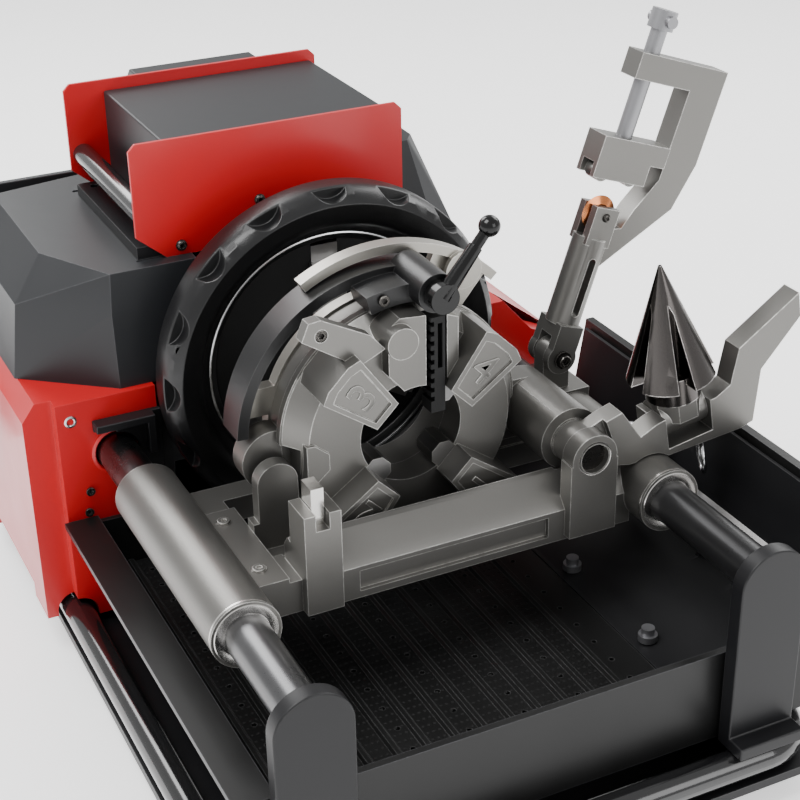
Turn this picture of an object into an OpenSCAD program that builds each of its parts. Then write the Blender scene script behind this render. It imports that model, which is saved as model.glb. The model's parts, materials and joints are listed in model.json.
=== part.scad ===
// Portable pipe threading machine: headstock with a hand-closed chuck, two rails,
// and a carriage that carries the die head, the pipe cutter and the reamer.
// Row frame: +X along the spindle towards the operator's end, +Y towards the side
// where the tools fold back, +Z up. Origin: centre of the stand bolts, at the feet.

/* [Spindle] */
// height of the spindle axis above the feet
spindle_h = 265; // [240:1:320]
// chuck front plane along X
chuck_x = -27; // [-60:1:20]
// radius of the through hole for the pipe
bore_r = 34; // [30:0.5:40]
// outer radius of the spindle tube
tube_r = 45; // [42:0.5:50]

/* [Chuck] */
// radius of the chuck body
chuck_r = 104; // [90:1:110]
// outer radius of the hand ring
ring_r = 155; // [140:1:165]
// number of grip hollows on the hand ring
ring_grips = 16; // [8:1:24]
// jaw width
jaw_w = 24; // [18:1:30]

/* [Rails] */
// rail diameter
rail_d = 35; // [30:1:40]
// half the distance between the rails
rail_y = 186.5; // [170:0.5:200]
// rails below the spindle axis
rail_drop = 67.6; // [60:0.1:80]
// front end of the rails
rail_end = 392; // [380:1:420]
// outer radius of the carriage sleeves
sleeve_r = 27.5; // [24:0.5:32]

/* [Tool hinge] */
// hinge pin position across the machine
hinge_y = 124.6; // [110:0.1:140]
// hinge pin below the spindle axis
hinge_drop = 21; // [10:0.5:40]
// hinge pin radius
pin_r = 12.5; // [10:0.5:16]

/* [Die head] */
// radius of the die head
head_r = 104; // [90:1:115]
// radius of the throat
throat_r = 44; // [38:1:50]
// die tip radius with the head closed
die_tip = 31; // [28:0.5:34]
// width of a die
die_w = 22; // [16:1:26]

/* [Cutter] */
// lean of the parked cutter
cutter_tilt = 19; // [0:1:30]
// cutting wheel radius
wheel_r = 16; // [10:1:18]

/* [Reamer] */
// rise of the parked reamer arm
arm_rise = 10; // [0:1:20]
// largest radius of the reamer
reamer_r = 36.5; // [30:0.1:42]
// reamer length
reamer_l = 100; // [90:1:130]

/* [Gears] */
// module of the spindle gear
gear_m = 3; // [2:0.5:4]
// teeth of the spindle gear
gear_z = 60; // [40:1:80]
// teeth of the motor pinion
pin_z = 18; // [14:1:24]
// module of the feed rack
rack_m = 2.5; // [2:0.5:3]
// teeth of the feed pinion
feed_z = 16; // [14:1:24]

/* [Hidden] */
$fn = 48;
motor_c = gear_m * (gear_z + pin_z) / 2;
motor_a = 99.84;
feed_r = rack_m * feed_z / 2;
feed_x = 125;
feed_z0 = -92 - feed_r;
gap = 0.05;

// ---- helpers, all in the spindle frame ----
module sp() translate([chuck_x, 0, spindle_h]) children();
module xcyl(x0, x1, y, z, r) translate([x0, y, z]) rotate([0, 90, 0]) cylinder(h = x1 - x0, r = r);
module ycyl(y0, y1, x, z, r) translate([x, y1, z]) rotate([90, 0, 0]) cylinder(h = y1 - y0, r = r);
module zcyl(z0, z1, x, y, r) translate([x, y, z0]) cylinder(h = z1 - z0, r = r);
module bx(x0, x1, y0, y1, z0, z1) translate([x0, y0, z0]) cube([x1 - x0, y1 - y0, z1 - z0]);
module xprism(x0, x1, pts) translate([x0, 0, 0]) rotate([90, 0, 90]) linear_extrude(x1 - x0) polygon(pts);
module yprism(y0, y1, pts) translate([0, y1, 0]) rotate([90, 0, 0]) linear_extrude(y1 - y0) polygon(pts);
module xring(x0, x1, r0, r1) difference() {
    xcyl(x0, x1, 0, 0, r1);
    xcyl(x0 - 1, x1 + 1, 0, 0, r0);
}
// part of a ring about the spindle, from angle a0 to a1
module xarc(x0, x1, r0, r1, a0, a1) intersection() {
    xring(x0, x1, r0, r1);
    xprism(x0 - 1, x1 + 1, concat([[0, 0]], [for (i = [0:4])
        let (a = a0 + (a1 - a0) * i / 4) [1.6 * r1 * cos(a), 1.6 * r1 * sin(a)]]));
}
module xturn(a) rotate([a, 0, 0]) children();
// gear outline with straight flanks, one tooth centred on angle 0
module gear2d(m, z, thick = 0.46) {
    rp = m * z / 2;
    w = 360 / z;
    polygon([for (i = [0:z - 1]) each [
        [(rp - 1.25 * m) * cos(i * w - 0.34 * w), (rp - 1.25 * m) * sin(i * w - 0.34 * w)],
        [rp * cos(i * w - thick * w / 2), rp * sin(i * w - thick * w / 2)],
        [(rp + 0.9 * m) * cos(i * w - 0.12 * w), (rp + 0.9 * m) * sin(i * w - 0.12 * w)],
        [(rp + 0.9 * m) * cos(i * w + 0.12 * w), (rp + 0.9 * m) * sin(i * w + 0.12 * w)],
        [rp * cos(i * w + thick * w / 2), rp * sin(i * w + thick * w / 2)],
        [(rp - 1.25 * m) * cos(i * w + 0.34 * w), (rp - 1.25 * m) * sin(i * w + 0.34 * w)]]]);
}

// ---- base ----
module base_skid() color("#141416") sp() {
    rc = 45;
    x0 = -290;
    x1 = 398;
    y0 = 235;
    z = -224;
    r = 13;
    for (s = [-1, 1]) xcyl(x0 + rc, x1 - rc, s * y0, z, r);
    for (x = [x0, x1]) ycyl(-y0 + rc, y0 - rc, x, z, r);
    for (c = [[x1 - rc, y0 - rc, 0], [x0 + rc, y0 - rc, 90], [x0 + rc, -y0 + rc, 180],
        [x1 - rc, -y0 + rc, 270]])
        translate([c[0], c[1], z]) rotate([0, 0, c[2]]) rotate_extrude(angle = 90) translate([rc, 0])
            circle(r);
}
module base_plate() color("#2b2b2e") sp() difference() {
    bx(-303, 411, -248, 248, -245, -237);
    bx(20, 300, -150, 150, -250, -230);
    for (x = [27 - 260, 27 + 260], y = [-170, 170]) zcyl(-250, -230, x, y, 5.5);
}
module rubber_feet() color("#1c1c1c") sp()
    for (x = [27 - 260, 27 + 260], y = [-170, 170]) difference() {
        zcyl(-265, -245, x, y, 22);
        zcyl(-270, -240, x, y, 5.5);
    }

// ---- headstock ----
module headstock_casting() color("#3a3b3d") sp() difference() {
    union() {
        xcyl(-92, -62, 0, 0, 86);
        bx(-92, -62, -212, 212, -108, -40);
        bx(-92, -62, -86, 86, -108, 0);
        xcyl(-200, -178, 0, 0, 78);
        bx(-200, -178, -140, 140, -108, -30);
        bx(-200, -178, -78, 78, -108, 0);
        xcyl(-200, -178, motor_c * cos(motor_a), motor_c * sin(motor_a), 50);
        bx(-200, -178, -68, 28, 0, 100);
        for (s = [-1, 1]) bx(-200, -62, s * 134 - 6, s * 134 + 6, -237, -60);
        bx(-200, -62, -140, 140, -237, -225);
    }
    xcyl(-94, -60, 0, 0, 58.02);
    xcyl(-202, -176, 0, 0, 58.02);
    for (s = [-1, 1]) xcyl(-94, -60, s * rail_y, -rail_drop, rail_d / 2 + 0.02);
    xcyl(-202, -176, motor_c * cos(motor_a), motor_c * sin(motor_a), 20);
    bx(-178, -92, -96, 96, -30, 140);
}
module spindle_bearings() color("#b08d4a") sp() for (x = [[-92, -62], [-200, -178]])
    xring(x[0], x[1], tube_r + gap, 58);
module rail_left() color("#6a6c70") sp() xcyl(-92, rail_end, -rail_y, -rail_drop, rail_d / 2);
module rail_right() color("#202124") sp() xcyl(-92, rail_end, rail_y, -rail_drop, rail_d / 2);
module rail_end_brackets() color("#1a1a1c") sp() {
    x0 = rail_end - 12;
    for (s = [-1, 1]) difference() {
        union() {
            xcyl(x0, x0 + 14, s * rail_y, -rail_drop, 30);
            bx(x0, x0 + 14, s * rail_y - 30, s * rail_y + 30, -210.9, -rail_drop);
            bx(x0, x0 + 30, s * rail_y - 30, s * rail_y + 30, -210.9, -200);
            if (s > 0) bx(x0, x0 + 14, 206, 232, -100, -76);
        }
        xcyl(x0 - 1, rail_end, s * rail_y, -rail_drop, rail_d / 2 + 0.02);
    }
}
module rail_bracket() color("#151517") sp() difference() {
    union() {
        bx(-35, -20, -206, -154, -41, -34);
        bx(-35, -30, -206, -146, -96, -34);
        bx(-30, -20, -161, -154, -70, -34);
    }
    xcyl(-40, -10, -rail_y, -rail_drop, 19);
    bx(-36, -10, -230, -rail_y, -110, -44);
}
module motor_can() color("#4a4b4e") sp() difference() {
    my = motor_c * cos(motor_a);
    mz = motor_c * sin(motor_a);
    union() {
        xcyl(-244, -206, my, mz, 44);
        xcyl(-206, -200.02, my, mz, 48);
        xcyl(-206, -199, my, mz, 19.9);
    }
    xcyl(-232, -198, my, mz, 8 + gap);
}
module motor_pinion() color("#8a8c90") sp() translate([0, motor_c * cos(motor_a), motor_c * sin(motor_a)]) {
    xcyl(-231, -108, 0, 0, 8);
    translate([-150, 0, 0]) rotate([motor_a + 180 + 180 / pin_z, 0, 0]) rotate([90, 0, 90])
        linear_extrude(26) gear2d(gear_m, pin_z);
}

// ---- housing ----
module side_panel_left() color("#c8161d") sp() difference() {
    union() {
        bx(-60, -35, -236, -148, -228, -14);
        xprism(-60, -48, [[-262, -228], [-236, -228], [-236, -14], [-250, -14], [-262, -30]]);
        xprism(-306, -55, [[-262, -228], [-257, -228], [-257, -32], [-246, -18], [-246, -14.2],
            [-250, -14.2], [-262, -30.2]]);
        bx(-110, -55, -250, -100, -18, -14.1);
        for (x = [-214, -150]) bx(x, x + 6, -284, -262, -42, -30.2);
    }
    bx(-61, -39, -232, -152, -224, -18);
    bx(-61, -52, -257, -231, -224, -36);
    xcyl(-62, -30, -rail_y, -rail_drop, 19);
    xcyl(-62, -30, -235, -224, 17);
    bx(-62, -30, -252, -218, -229, -224);
    xcyl(-216, -142, -278, -36, 3 + gap);
    bx(-230, -90, -263, -256, -229, -214);
}
module side_panel_right() color("#c8161d") sp() difference() {
    union() {
        xprism(-60, -35, [[148, -228], [262, -228], [262, -60], [224, -42], [193, -7], [148, -7]]);
        xprism(-306, -55, [[257, -228], [262, -228], [262, -60.4], [224, -42.4], [193, -7.4],
            [120, -7.4], [120, -11.4],
            [191, -11.4], [222, -46.4], [257, -63]]);
    }
    xprism(-61, -39, [[152, -224], [256, -224], [256, -66], [221, -49], [190, -13], [152, -13]]);
    xcyl(-62, -30, rail_y, -rail_drop, 19);
    xcyl(-62, -30, 235, -224, 17);
    bx(-62, -30, 218, 252, -229, -224);
    bx(-230, -90, 256, 263, -229, -214);
}
module plate_slots() for (x = [-64, -254]) bx(x, x + 5, -146, 104, 88.7, 195);
module slab(z, pts) translate([0, 0, z]) linear_extrude(0.1) polygon(pts);
module cover_left() color("#2d2e31") sp() difference() {
    hull() {
        slab(-14, [[-42, -98], [-42, -176], [-104, -252], [-300, -252], [-306, -98]]);
        slab(56, [[-42, -98], [-42, -177], [-100, -244], [-296, -244], [-306, -98]]);
        slab(90, [[-46, -98], [-46, -174], [-120, -214], [-280, -214], [-300, -98]]);
    }
    plate_slots();
    hull() {
        slab(-16, [[-47, -103], [-47, -174], [-107, -246], [-295, -246], [-301, -103]]);
        slab(54, [[-47, -103], [-47, -174], [-104, -238], [-291, -238], [-301, -103]]);
        slab(85, [[-51, -103], [-51, -170], [-123, -209], [-277, -209], [-296, -103]]);
    }
}
module cover_right() color("#2d2e31") sp() difference() {
    hull() {
        slab(-6.5, [[-42, 98], [-42, 150], [-64, 188], [-300, 192], [-306, 98]]);
        slab(66, [[-50, 98], [-50, 132], [-70, 158], [-290, 164], [-300, 98]]);
        slab(150, [[-76, 106], [-76, 116], [-90, 126], [-260, 130], [-270, 106]]);
    }
    plate_slots();
    hull() {
        slab(-8, [[-47, 103], [-47, 149], [-68, 183], [-295, 186], [-301, 103]]);
        slab(64, [[-55, 103], [-55, 131], [-74, 153], [-286, 158], [-295, 103]]);
        slab(145, [[-81, 110], [-81, 115], [-94, 121], [-256, 125], [-266, 110]]);
    }
}
module roof_pts() polygon([[-145, 111], [-119, 89], [97, 89], [103, 95], [103, 186], [97, 192],
    [-139, 192], [-145, 186]]);
module front_plate() color("#d01820") sp() translate([-63, 0, 0]) rotate([90, 0, 90]) linear_extrude(3)
    difference() {
    roof_pts();
    for (p = [[-106, 98], [-33, 126], [88, 102]]) translate(p) circle(2.6);
}
module rear_plate() color("#d01820") sp() translate([-253, 0, 0]) rotate([90, 0, 90]) linear_extrude(3)
    roof_pts();
module top_housing() color("#26272a") sp() difference() {
    bx(-249.9, -63.1, -108, 97.5, 91, 182);
    bx(-246, -67, -104, 93.5, 90, 178);
}
module carry_tube() color("#1b1c1f") sp() xcyl(-249.9, -63.1, -132, 125, 10);
module latch_bar() color("#17181a") sp() difference() {
    bx(-240, -64, -144, -118, 90.2, 101);
    for (x = [-228, -80]) zcyl(80, 110, x, -131, 4);
}
module rear_cover() color("#26272a") sp() difference() {
    union() {
        bx(-313, -306.2, -262, 262, -228, -30);
        bx(-313, -306.2, -240, 210, -30, 90);
        bx(-306.2, -253.2, -97.5, 97.5, 85.5, 90);
    }
    xcyl(-320, -300, 0, 0, 60);
}
module battery_pack() color("#1d1d20") sp() difference() {
    union() {
        yprism(-62, 62, [[-330, 100], [-320, 90.2], [-253.2, 90.2], [-253.2, 170], [-262, 178],
            [-318, 178], [-330, 166]]);
    }
    for (s = [-1, 1]) bx(-322, -266, s * 62 - 3, s * 62 + 3, 104, 160);
}
module cover_screws() color("#2a2a2c") sp() {
    for (p = [[-106, 98], [-33, 126], [88, 102]]) {
        xcyl(-60, -56.5, p[0], p[1], 5);
        xcyl(-63, -60, p[0], p[1], 2.5);
    }
    for (z = [-60, -94, -150]) xcyl(-35, -33.6, -226, z, 4.5);
}
module power_paddle() color("#c8161d") sp() {
    xcyl(-213.6, -144.4, -278, -36, 3);
    xcyl(-207.6, -150.4, -278, -36, 6);
    bx(-207.6, -150.4, -284, -276, -96, -36);
}

// ---- drip pan ----
module oil_pan() color("#1a1b1d") sp() {
    xprism(-33, 376, [[-240, -126], [-210, -126], [-203, -206], [262, -206], [284, -44], [292, -44],
        [292, -49],
        [288, -49], [267, -210.9], [-208, -210.9], [-215, -131], [-240, -131]]);
    xprism(370, 376, [[-206, -206], [263, -206], [273, -130], [-209, -130]]);
    xprism(-33, -28, [[-206, -206], [263, -206], [273, -130], [-209, -130]]);
}
module chip_tray() color("#131315") sp() {
    difference() {
        bx(-26, 368, -198, 138, -180, -177);
        for (i = [0:6], k = [0:13]) zcyl(-182, -175, -6 + k * 27, -174 + i * 48, 2.2);
    }
    for (i = [0:12]) xprism(-26, 368, [[-191 + i * 24, -177], [-183 + i * 24, -177],
        [-185 + i * 24, -174], [-189 + i * 24, -174]]);
    for (x = [-26, 362]) bx(x, x + 6, -198, 138, -206, -180);
}
module pan_liner() color("#101012") sp() {
    difference() {
        xprism(-26, 368, [[138.5, -180], [205, -173], [258, -168], [272, -112], [281, -50], [278, -50],
            [268, -112], [255, -164], [205, -169], [142, -176], [138.5, -176]]);
        for (x = [50, 167, 285]) zcyl(-190, -160, x, 152, 4);
    }
    for (x = [210, 262, 314]) xprism(x, x + 4, [[206, -171.5], [256, -168.5], [268, -118],
        [262, -150], [250, -164]]);
}
module tray_bolts() color("#55565a") sp() for (x = [50, 167, 285]) {
    zcyl(-206, -173.9, x, 152, 3.9);
    zcyl(-173.9, -168, x, 152, 8);
    zcyl(-168, -162, x, 152, 5.5);
}
module feed_rack() color("#3c3d40") sp() difference() {
    p = PI * rack_m;
    union() {
        bx(-35, rail_end - 12, 218, 230, -92, -80);
        for (i = [-18:25]) let (x = feed_x + (i + 0.5) * p)
            yprism(218, 230, [[x - 0.38 * p, -92 + 1.2], [x - 0.23 * p, -92],
                [x - 0.13 * p, -92 - 0.9 * rack_m],
                [x + 0.13 * p, -92 - 0.9 * rack_m], [x + 0.23 * p, -92], [x + 0.38 * p, -92 + 1.2]]);
    }
    for (i = [-18:24]) let (x = feed_x + i * p + p)
        yprism(217, 231, [[x - 0.14 * p, -92 + 1.25 * rack_m], [x - 0.27 * p, -92], [x - 0.3 * p, -93],
            [x + 0.3 * p, -93], [x + 0.27 * p, -92], [x + 0.14 * p, -92 + 1.25 * rack_m]]);
}

// ---- spindle and chuck ----
module spindle_tube() color("#7b7d80") sp() difference() {
    union() {
        xcyl(-318, -40, 0, 0, tube_r);
        xcyl(-330, -314, 0, 0, 56);
        for (a = [90, 210, 330]) xturn(a) bx(-330, -320, 36, 66, -9, 9);
        xcyl(-61.7, -46, 0, 0, 54);
        xcyl(-214, -200.3, 0, 0, 54);
    }
    xcyl(-340, -30, 0, 0, bore_r);
}
module spindle_gear() color("#6f7174") sp() difference() {
    translate([-150, 0, 0]) xturn(motor_a) rotate([90, 0, 90]) linear_extrude(26) gear2d(gear_m, gear_z);
    xcyl(-160, -110, 0, 0, tube_r + 0.02);
    for (a = [0:60:300]) xturn(a) xcyl(-160, -110, 66, 0, 11);
}
module chuck_body() color("#161617") sp() difference() {
    union() {
        xcyl(-40, -14.3, 0, 0, 114);
        xcyl(-14.3, -2, 0, 0, chuck_r);
        xcyl(-46, -40, 0, 0, 80);
    }
    xcyl(-50, 5, 0, 0, bore_r);
    xcyl(-47, -40, 0, 0, tube_r + 0.02);
    for (a = [90, 210, 330]) xturn(a) bx(-22, 0, 0, chuck_r + 2, -jaw_w / 2 - gap, jaw_w / 2 + gap);
}
module chuck_ring() color("#1e1f21") sp() difference() {
    rotate([0, 90, 0]) rotate_extrude() polygon([[chuck_r + gap, -14], [chuck_r + gap, 1], [109, 5],
        [114, 6], [119, 11],
        [124, 20], [132, 26], [143, 28], [150, 23], [ring_r, 11], [ring_r, -6], [151, -14]]);
    for (i = [0:ring_grips - 1]) xturn(i * 360 / ring_grips) xcyl(13, 40, 163, 0, 18);
}
module jaw(a) sp() xturn(a) {
    bx(-21.95, -1, 38, 100, -jaw_w / 2, jaw_w / 2);
    difference() {
        xprism(-1, 12, [[36, -5], [46, -14], [86, -14], [86, 14], [46, 14], [36, 5]]);
        xcyl(2, 14, 70, 0, 6);
    }
}
module jaw_a() color("#8d8f92") jaw(90);
module jaw_b() color("#8d8f92") jaw(210);
module jaw_c() color("#8d8f92") jaw(330);

// ---- carriage ----
module carriage_casting() color("#8f8d88") sp() difference() {
    union() {
        xcyl(48, 271, -rail_y, -rail_drop, sleeve_r);
        xcyl(45, 255, rail_y, -rail_drop, sleeve_r);
        yprism(-124, 165, [[192, -94], [230, -94], [230, -66], [222, -57], [206, -45], [200, -43],
            [192, -52]]);
        bx(186, 226, -165, -124, -94, -66);
        bx(188.5, 192, -124, 165, -94, -66);
        bx(60, 84, -165, 165, -92, -70);
        bx(84, 112, 102, 165, -92, -70);
        bx(84, 110, -165, -134, -92, -70);
        bx(110, 226, -168, -134, -86, -62);
        bx(205, 235, -124, -94, -94, -22);
        bx(205, 235, -124, -114.5, -22, -8);
        bx(205, 235, -103.5, -94, -22, -8);
        xcyl(141.5, 154, -112, -23, 17);
        bx(141.5, 154, -129, -95, -86, -23);
        bx(141.5, 154, -134.1, -129, -86, -55);
        bx(134, 192, -140, -95, -94, -80);
        xcyl(222, 238, hinge_y, -hinge_drop, 20.5);
        bx(222, 238, hinge_y - 21.5, hinge_y + 21.5, -90, -hinge_drop - 3);
        xcyl(98, 110, hinge_y, -hinge_drop, 19);
        bx(98, 110, hinge_y - 19, hinge_y + 19, -92, -hinge_drop);
        xcyl(75.2, 90.8, 176, -5, 13);
        bx(75.2, 90.8, 163, 189, -60, -5);
        bx(60, 100, 160, 205, -60, -38);
        bx(feed_x - 16, feed_x + 16, 196, 216.5, feed_z0 - 14, -72);
    }
    for (s = [-1, 1]) xcyl(40, 280, s * rail_y, -rail_drop, 23.02);
    bx(226, 232, -78, 88, -88, -70);
    for (x = [[90, 111], [205, 240]]) xcyl(x[0], x[1], hinge_y, -hinge_drop, pin_r + 0.02);
    xcyl(60, 110, 176, -5, 6.02);
    ycyl(190, 230, feed_x, feed_z0, 8 + gap);
    xcyl(180, 203.3, hinge_y, -hinge_drop, 28);
    for (x = [128, 204]) zcyl(-70, -60, x, -150, 4);
}
module sleeve_bushings() color("#c9c7c2") sp() {
    for (s = [-1, 1]) {
        x0 = s < 0 ? 48 : 45;
        x1 = s < 0 ? 271 : 255;
        for (x = [[x0, x0 + 45], [x1 - 45, x1]]) difference() {
            xcyl(x[0], x[1], s * rail_y, -rail_drop, 23);
            xcyl(x[0] - 1, x[1] + 1, s * rail_y, -rail_drop, rail_d / 2 + gap);
        }
    }
}
module hinge_pins() color("#2c2d30") sp() {
    xcyl(96, 233, hinge_y, -hinge_drop, pin_r);
    xcyl(64, 102, 176, -5, 6);
    xcyl(100.3, 103, 176, -5, 8);
}
module carriage_screws() color("#4a4b4e") sp() {
    for (x = [128, 204]) {
        zcyl(-69.9, -62, x, -150, 3.9);
        zcyl(-62, -61, x, -150, 6);
    }
    bx(208, 226, -114.1, -103.9, -22, 9);
}
module handwheel() color("#a9abad") sp() translate([feed_x, 0, feed_z0]) difference() {
    union() {
        translate([0, 243, 0]) rotate([90, 0, 0]) rotate_extrude() translate([33, 0]) circle(5);
        ycyl(235, 250, 0, 0, 13);
        for (a = [30, 150, 270]) rotate([0, a, 0]) translate([0, 243, 0]) rotate([0, 90, 0])
            cylinder(h = 33, r = 4);
        ycyl(246, 256.5, 33 * cos(60), 33 * sin(60), 5);
    }
    ycyl(230, 255, 0, 0, 8.02);
}
module feed_pinion() color("#6f7174") sp() translate([feed_x, 0, feed_z0]) {
    ycyl(206, 250, 0, 0, 8);
    translate([0, 229.5, 0]) rotate([90, 0, 0]) linear_extrude(11) rotate(90) gear2d(rack_m, feed_z);
}

// ---- die head ----
module die_body() color("#9a9893") sp() difference() {
    union() {
        xcyl(112, 134, 0, 0, 100);
        xcyl(99, 112, 0, 0, 61.95);
        xcyl(112, 200, hinge_y, -hinge_drop, 27);
        xcyl(200, 202.6, hinge_y, -hinge_drop, 18);
        bx(112, 134, 70, hinge_y, -hinge_drop - 27, 6);
        xprism(134, 188, [[106, -36], [hinge_y, -36], [hinge_y, 6], [112, 3]]);
        xcyl(113, 133.8, -107, -14, 26);
    }
    xcyl(90, 140, 0, 0, throat_r + 2);
    xcyl(110, 210, hinge_y, -hinge_drop, pin_r + gap);
    xcyl(110, 136, 0, 84, 7);
}
module segment() difference() {
    xprism(141, 187.5, [[45, -13], [45, 13], [98, 22], [102, 12], [102, -12], [98, -22]]);
    xprism(185.5, 188, [[50, -9.5], [50, 9.5], [92, 16.5], [95, 8], [95, -8], [92, -16.5]]);
}
module die_front_plate() color("#a5a39e") sp() difference() {
    union() {
        xcyl(134, 141, 0, 0, head_r);
        translate([141, 0, 0]) rotate([0, 90, 0]) cylinder(h = 21, r1 = head_r - 2, r2 = head_r - 16);
        for (a = [45:90:315]) xturn(a) segment();
        xcyl(150, 184, -16, 88, 13);
        xprism(150, 174, [[-24, 58], [-24, 98], [-14, 105], [8, 103], [8, 40], [-4, 34]]);
        xprism(150, 174, [[26, 100], [36, 96], [36, 48], [26, 40]]);
        xprism(166, 177, [[-96, 104], [-90, 118], [-80, 119], [-40, 98], [-28, 84], [-50, 74]]);
        xprism(150, 165, [[-91, -32], [-72, -16], [-72, -2], [-84, 8], [-91, 8]]);
    }
    xcyl(130, 190, 0, 0, throat_r);
    for (a = [45:90:315]) xturn(a) bx(133, 162, 20, 92, -die_w / 2 - gap, die_w / 2 + gap);
    xcyl(133, 190, hinge_y, -hinge_drop, 27.1);
    xcyl(160, 180, -80, 106, 5);
    bx(133, 166, -112, -92.3, -70, 2);
}
module size_link() color("#17181a") sp() difference() {
    bx(162.02, 178, 10, 22.3, 20, 101.5);
    for (z = [30:8:94]) bx(161, 180, 9, 13, z, z + 4);
    bx(161, 180, 16, 20, 58, 96);
}
module cam_plate() color("#b3b1ab") sp() {
    xring(100, 111.7, 62, 102);
    xarc(104, 116.9, 133, 141, 44, 120);
    for (a = [50, 66]) xturn(a) bx(104, 111.7, 98, 136, -8, 8);
    xprism(100, 111.7, [[-96, 15], [-123, 15], [-119.5, 33], [-116.6, 39], [-92, 39]]);
    xcyl(116.9, 121, 69, 107.6, 16);
}
module throwout_bar() color("#141416") sp() {
    translate([0, -6, 0]) xarc(99.7, 131, 120, 129, 78, 176);
    xcyl(122, 176, 17, 120, 16);
    xarc(124.5, 158, 109, 124, 84, 106);
}
module clamp_lever() color("#101012") sp() translate([177.8, 17, 120]) {
    xcyl(-1.5, 12, 0, 0, 12);
    translate([6, 0, 0]) rotate([-38.6, 0, 0]) {
        cylinder(h = 46, r1 = 7, r2 = 5.5);
        cylinder(h = 62, r = 4.5);
        translate([0, 0, 64]) sphere(8.5);
    }
}
module die(a) sp() xturn(a) xprism2(134.3, 161.7);
module xprism2(x0, x1) xprism(x0, x1, [[die_tip, -5], [die_tip + 6, -die_w / 2], [84, -die_w / 2],
    [84, die_w / 2],
    [die_tip + 6, die_w / 2], [die_tip, 5]]);
module die_1() color("#77797d") die(-45);
module die_2() color("#77797d") die(225);
module die_3() color("#77797d") die(135);
module die_4() color("#77797d") die(45);

// ---- cutter, in its own leaning frame: y across, z up the barrel ----
module cut() sp() translate([83, 176, -5]) rotate([-cutter_tilt, 0, 0]) children();
module cutter_frame() color("#98968f") cut() difference() {
    union() {
        for (x = [-17, 8.3]) {
            xcyl(x, x + 8.7, 0, 0, 14);
            bx(x, x + 8.7, -12, 12, 0, 30);
        }
        bx(-17, 17, -12, 12, 17, 30);
        zcyl(28, 108, 0, 0, 15);
        for (s = [-1, 1]) bx(s * 9 - 4, s * 9 + 4, -12, 12, 102, 136);
        xprism(-11, 11, [[6, 80], [13, 88], [65, 145], [75, 187], [75, 268], [-16, 268], [-16, 246],
            [42, 246], [42, 168],
            [27, 139], [20, 121], [6, 118]]);
    }
    xcyl(-20, 20, 0, 0, 6 + gap);
    bx(-20, 20, -3.5, 3.5, 42, 88);
    xcyl(-20, 20, 0, 42, 3.5);
    xcyl(-20, 20, 0, 88, 3.5);
    xcyl(-20, 20, 0, 128, 3 + gap);
    bx(-5, 5, -18, 18, 111, 146);
    zcyl(240, 270, 0, 0, 7.4);
}
module cutter_wheel() color("#b3622e") cut() translate([0, 0, 128]) {
    rotate([0, 90, 0]) translate([0, 0, -2.5]) cylinder(h = 2.5, r1 = 9, r2 = wheel_r);
    rotate([0, 90, 0]) cylinder(h = 2.5, r1 = wheel_r, r2 = 9);
    xcyl(-4.6, 4.6, 0, 0, 6);
    xcyl(-12.8, 12.8, 0, 0, 3);
}
module roller_carrier() color("#a3a19b") cut() {
    difference() {
        union() {
            bx(-13, 13, -27, 27, 172, 196);
            for (s = [-1, 1]) bx(s * 10.5 - 2.5, s * 10.5 + 2.5, -27, 27, 160, 172);
            bx(-13, 13, 27, 41.6, 178, 196);
        }
        zcyl(188, 200, 0, 0, 7.1);
    }
    for (p = [-15, 15]) {
        xcyl(-7.8, 7.8, p, 164, 7.5);
        xcyl(-13, 13, p, 164, 3);
    }
}
module cutter_screw() color("#55575a") cut() {
    zcyl(188.3, 300, 0, 0, 7);
    zcyl(288, 304, 0, 0, 11);
    xcyl(-15, 15, 0, 296, 5);
}

// ---- reamer, in its own frame: y out along the arm, z across it, origin at the hinge ----
module rm() sp() translate([0, hinge_y, -hinge_drop]) rotate([arm_rise, 0, 0]) children();
module reamer_arm() color("#a9a7a1") rm() difference() {
    union() {
        xcyl(203, 220, 0, 0, 18);
        xprism(206, 226, [[8, -18], [36, -29], [66, -33.5], [72, -37], [145, -42], [158, -40],
            [170, 6], [212, 40], [212, 62],
            [150, 34], [141, 10], [139, 4], [124, -2], [118, -2], [118, -31], [75, -31], [75, -2], [66, -3],
                [50, -8], [36, 22],
            [22, 20], [6, 16]]);
        for (s = [69, 118]) bx(190, 207, s, s + 6, -28, -3);
        ycyl(70, 123, 205, -12, 4.95);
    }
    xcyl(200, 230, 0, 0, pin_r + gap);
    xprism(219.9, 230, [[-20, -20], [20, -26], [24, 0], [20, 22], [-20, 20]]);
    translate([0, 61.9 * cos(arm_rise) - 46.6 * sin(arm_rise), -61.9 * sin(arm_rise)
        - 46.6 * cos(arm_rise)])
        xcyl(200, 230, 0, 0, sleeve_r + 1);
}
module pull_ring() color("#b9bbbd") rm() {
    translate([214, 112, -59]) rotate([0, 0, -26]) rotate([90, 0, 0]) rotate_extrude()
        translate([15, 0]) circle(2.2);
    zcyl(-45, -40.2, 214, 112, 5);
}
module reamer_head() color("#a9a7a1") rm() difference() {
    union() {
        ycyl(75.3, 117.7, 205, -12, 16.6);
        translate([205, 96.5, -12]) rotate(22.5) cylinder(h = 16.7, r = 21.2 / cos(22.5), $fn = 8);
    }
    ycyl(70, 120, 205, -12, 5);
}
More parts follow.
